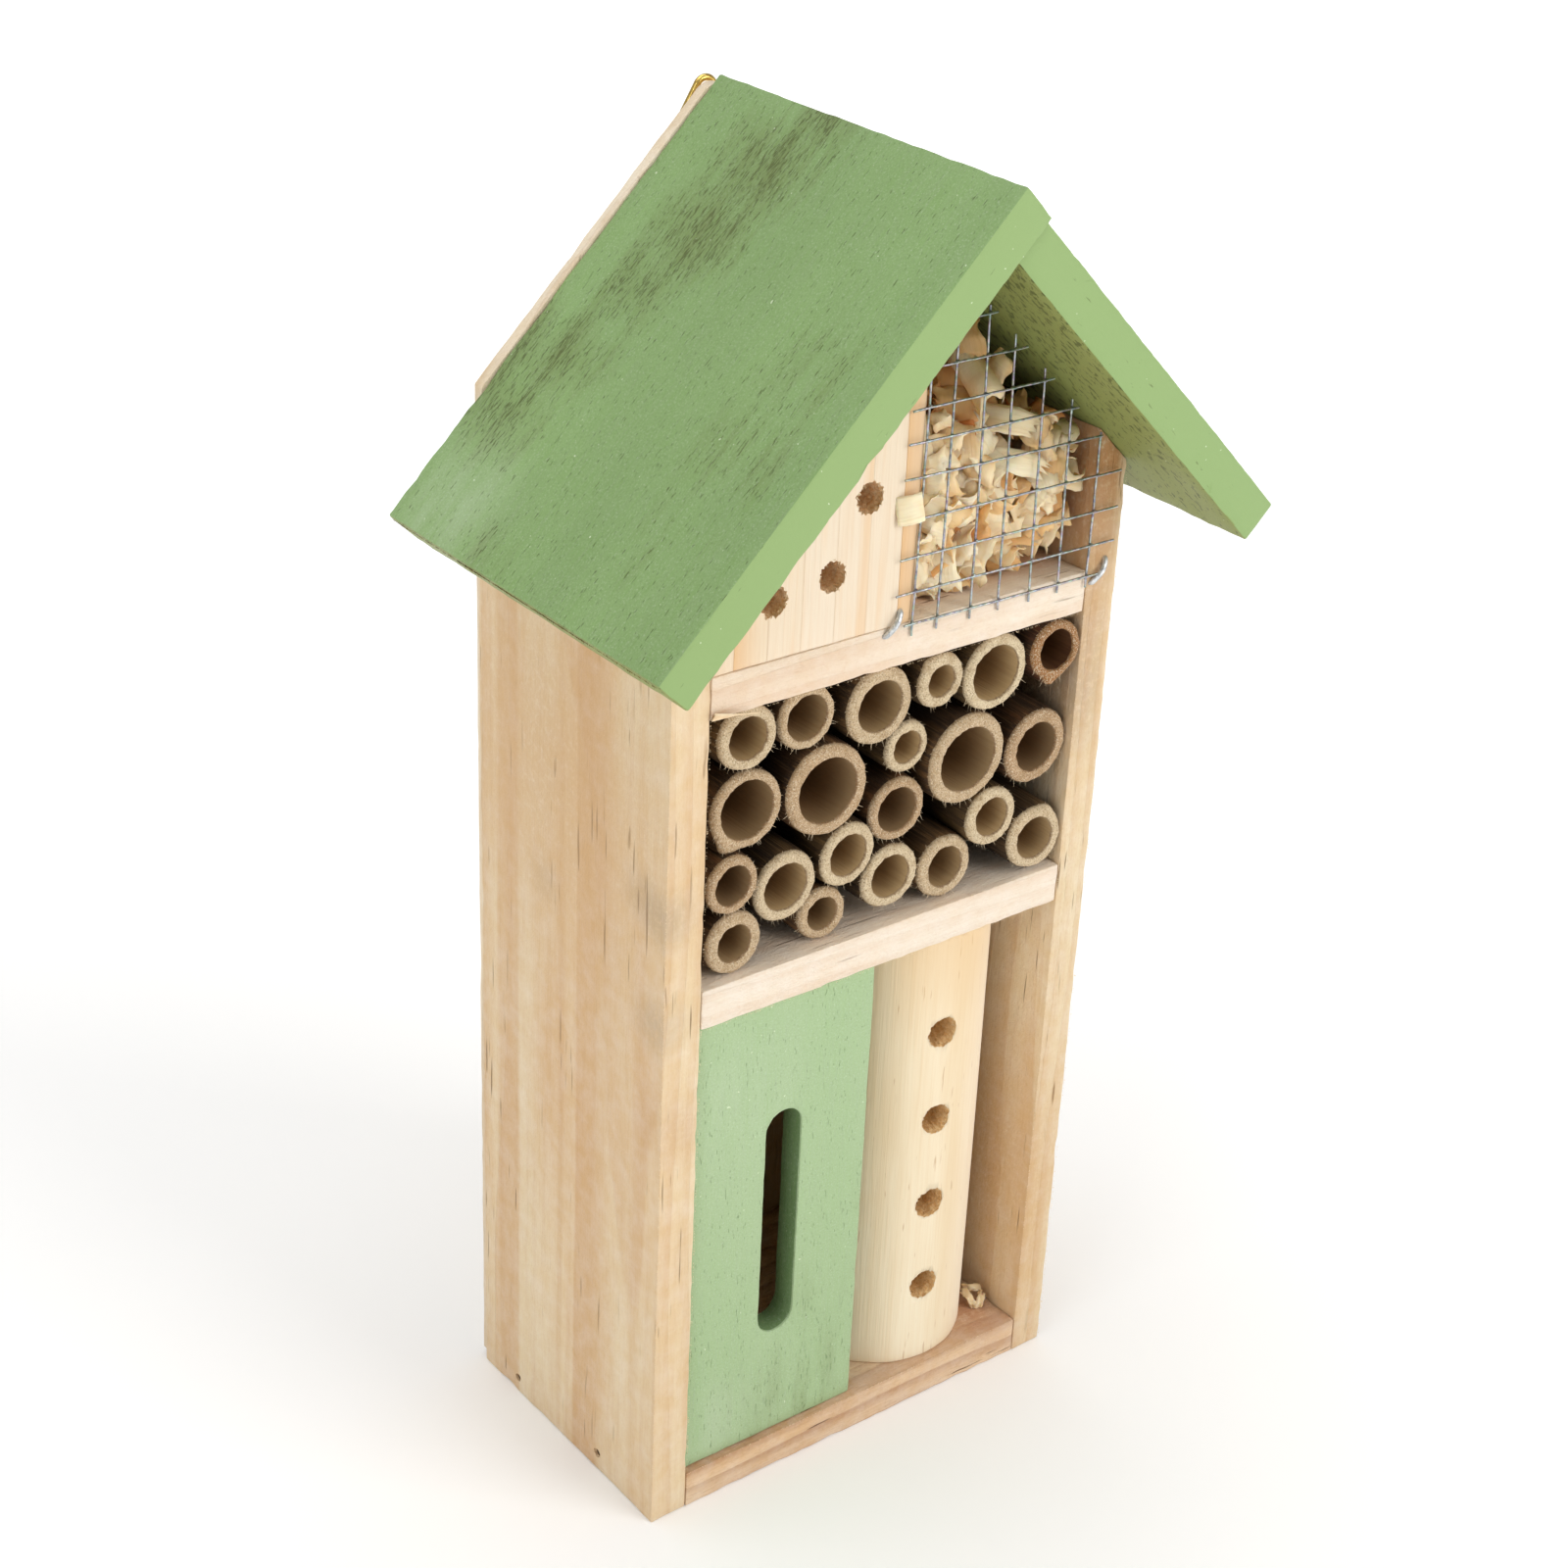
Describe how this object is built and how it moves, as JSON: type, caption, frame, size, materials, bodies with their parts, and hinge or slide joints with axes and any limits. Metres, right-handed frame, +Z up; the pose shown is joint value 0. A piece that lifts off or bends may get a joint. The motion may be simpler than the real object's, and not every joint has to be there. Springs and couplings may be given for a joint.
{
  "type": "insect hotel",
  "caption": "Small wooden insect hotel: open-fronted gabled box with green roof, bamboo canes, drilled block and log, shavings bin behind wire mesh, slotted panel, hanging ring.",
  "frame": {"origin": "centre of the box's footprint (side boards), on the plane that its underside stands on", "axes": "+X to the right as seen from the front, +Y to the back (the open front faces -Y), +Z up"},
  "size_m": [0.1353, 0.0872, 0.261],
  "materials": {
    "side_wood": "planed pine, unfinished, sawn end grain",
    "shelf_wood": "planed pine, unfinished, sawn front edges",
    "panel_ply": "thin birch plywood, unfinished",
    "roof_paint": "thin matt green woodstain over pine, open grain showing through",
    "block_wood": "glued pine strips, unfinished, fuzzy drilled holes",
    "mesh_wire": "galvanised welded wire",
    "staple_wire": "galvanised staple wire",
    "shavings": "loose planer shavings of pine",
    "bamboo": "sawn bamboo with brown sheath outside",
    "door_paint": "matt light green paint",
    "log_wood": "barked and sanded softwood log",
    "brad_steel": "dull steel brads",
    "hanger_brass": "bright brass plate"
  },
  "bodies": {
    "house": {"left_side": "side_wood", "right_side": "side_wood", "floor_board": "shelf_wood", "lower_shelf": "shelf_wood", "upper_shelf": "shelf_wood", "back_panel": "panel_ply", "roof_board_left": "roof_paint", "roof_board_right": "roof_paint", "drilled_block": "block_wood", "wire_mesh": "mesh_wire", "mesh_staples": "staple_wire", "wood_shavings": "shavings", "bamboo_tube_01": "bamboo", "bamboo_tube_02": "bamboo", "bamboo_tube_03": "bamboo", "bamboo_tube_04": "bamboo", "bamboo_tube_05": "bamboo", "bamboo_tube_06": "bamboo", "bamboo_tube_07": "bamboo", "bamboo_tube_08": "bamboo", "bamboo_tube_09": "bamboo", "bamboo_tube_10": "bamboo", "bamboo_tube_11": "bamboo", "bamboo_tube_12": "bamboo", "bamboo_tube_13": "bamboo", "bamboo_tube_14": "bamboo", "bamboo_tube_15": "bamboo", "bamboo_tube_16": "bamboo", "bamboo_tube_17": "bamboo", "bamboo_tube_18": "bamboo", "bamboo_tube_19": "bamboo", "bamboo_tube_20": "bamboo", "bamboo_tube_21": "bamboo", "butterfly_panel": "door_paint", "nesting_log": "log_wood", "side_brads": "brad_steel", "back_brads": "brad_steel", "hanger_strap": "hanger_brass", "hanger_screw": "hanger_brass"},
    "ring": {"hanger_ring": "hanger_brass"}
  },
  "joints": [
    {"name": "ring_swing", "type": "hinge", "parent": "house", "child": "ring", "pos_m": [0.0003, 0.0341, 0.2471], "axis": [-1, 0, 0], "range_deg": [0, 160]}
  ]
}
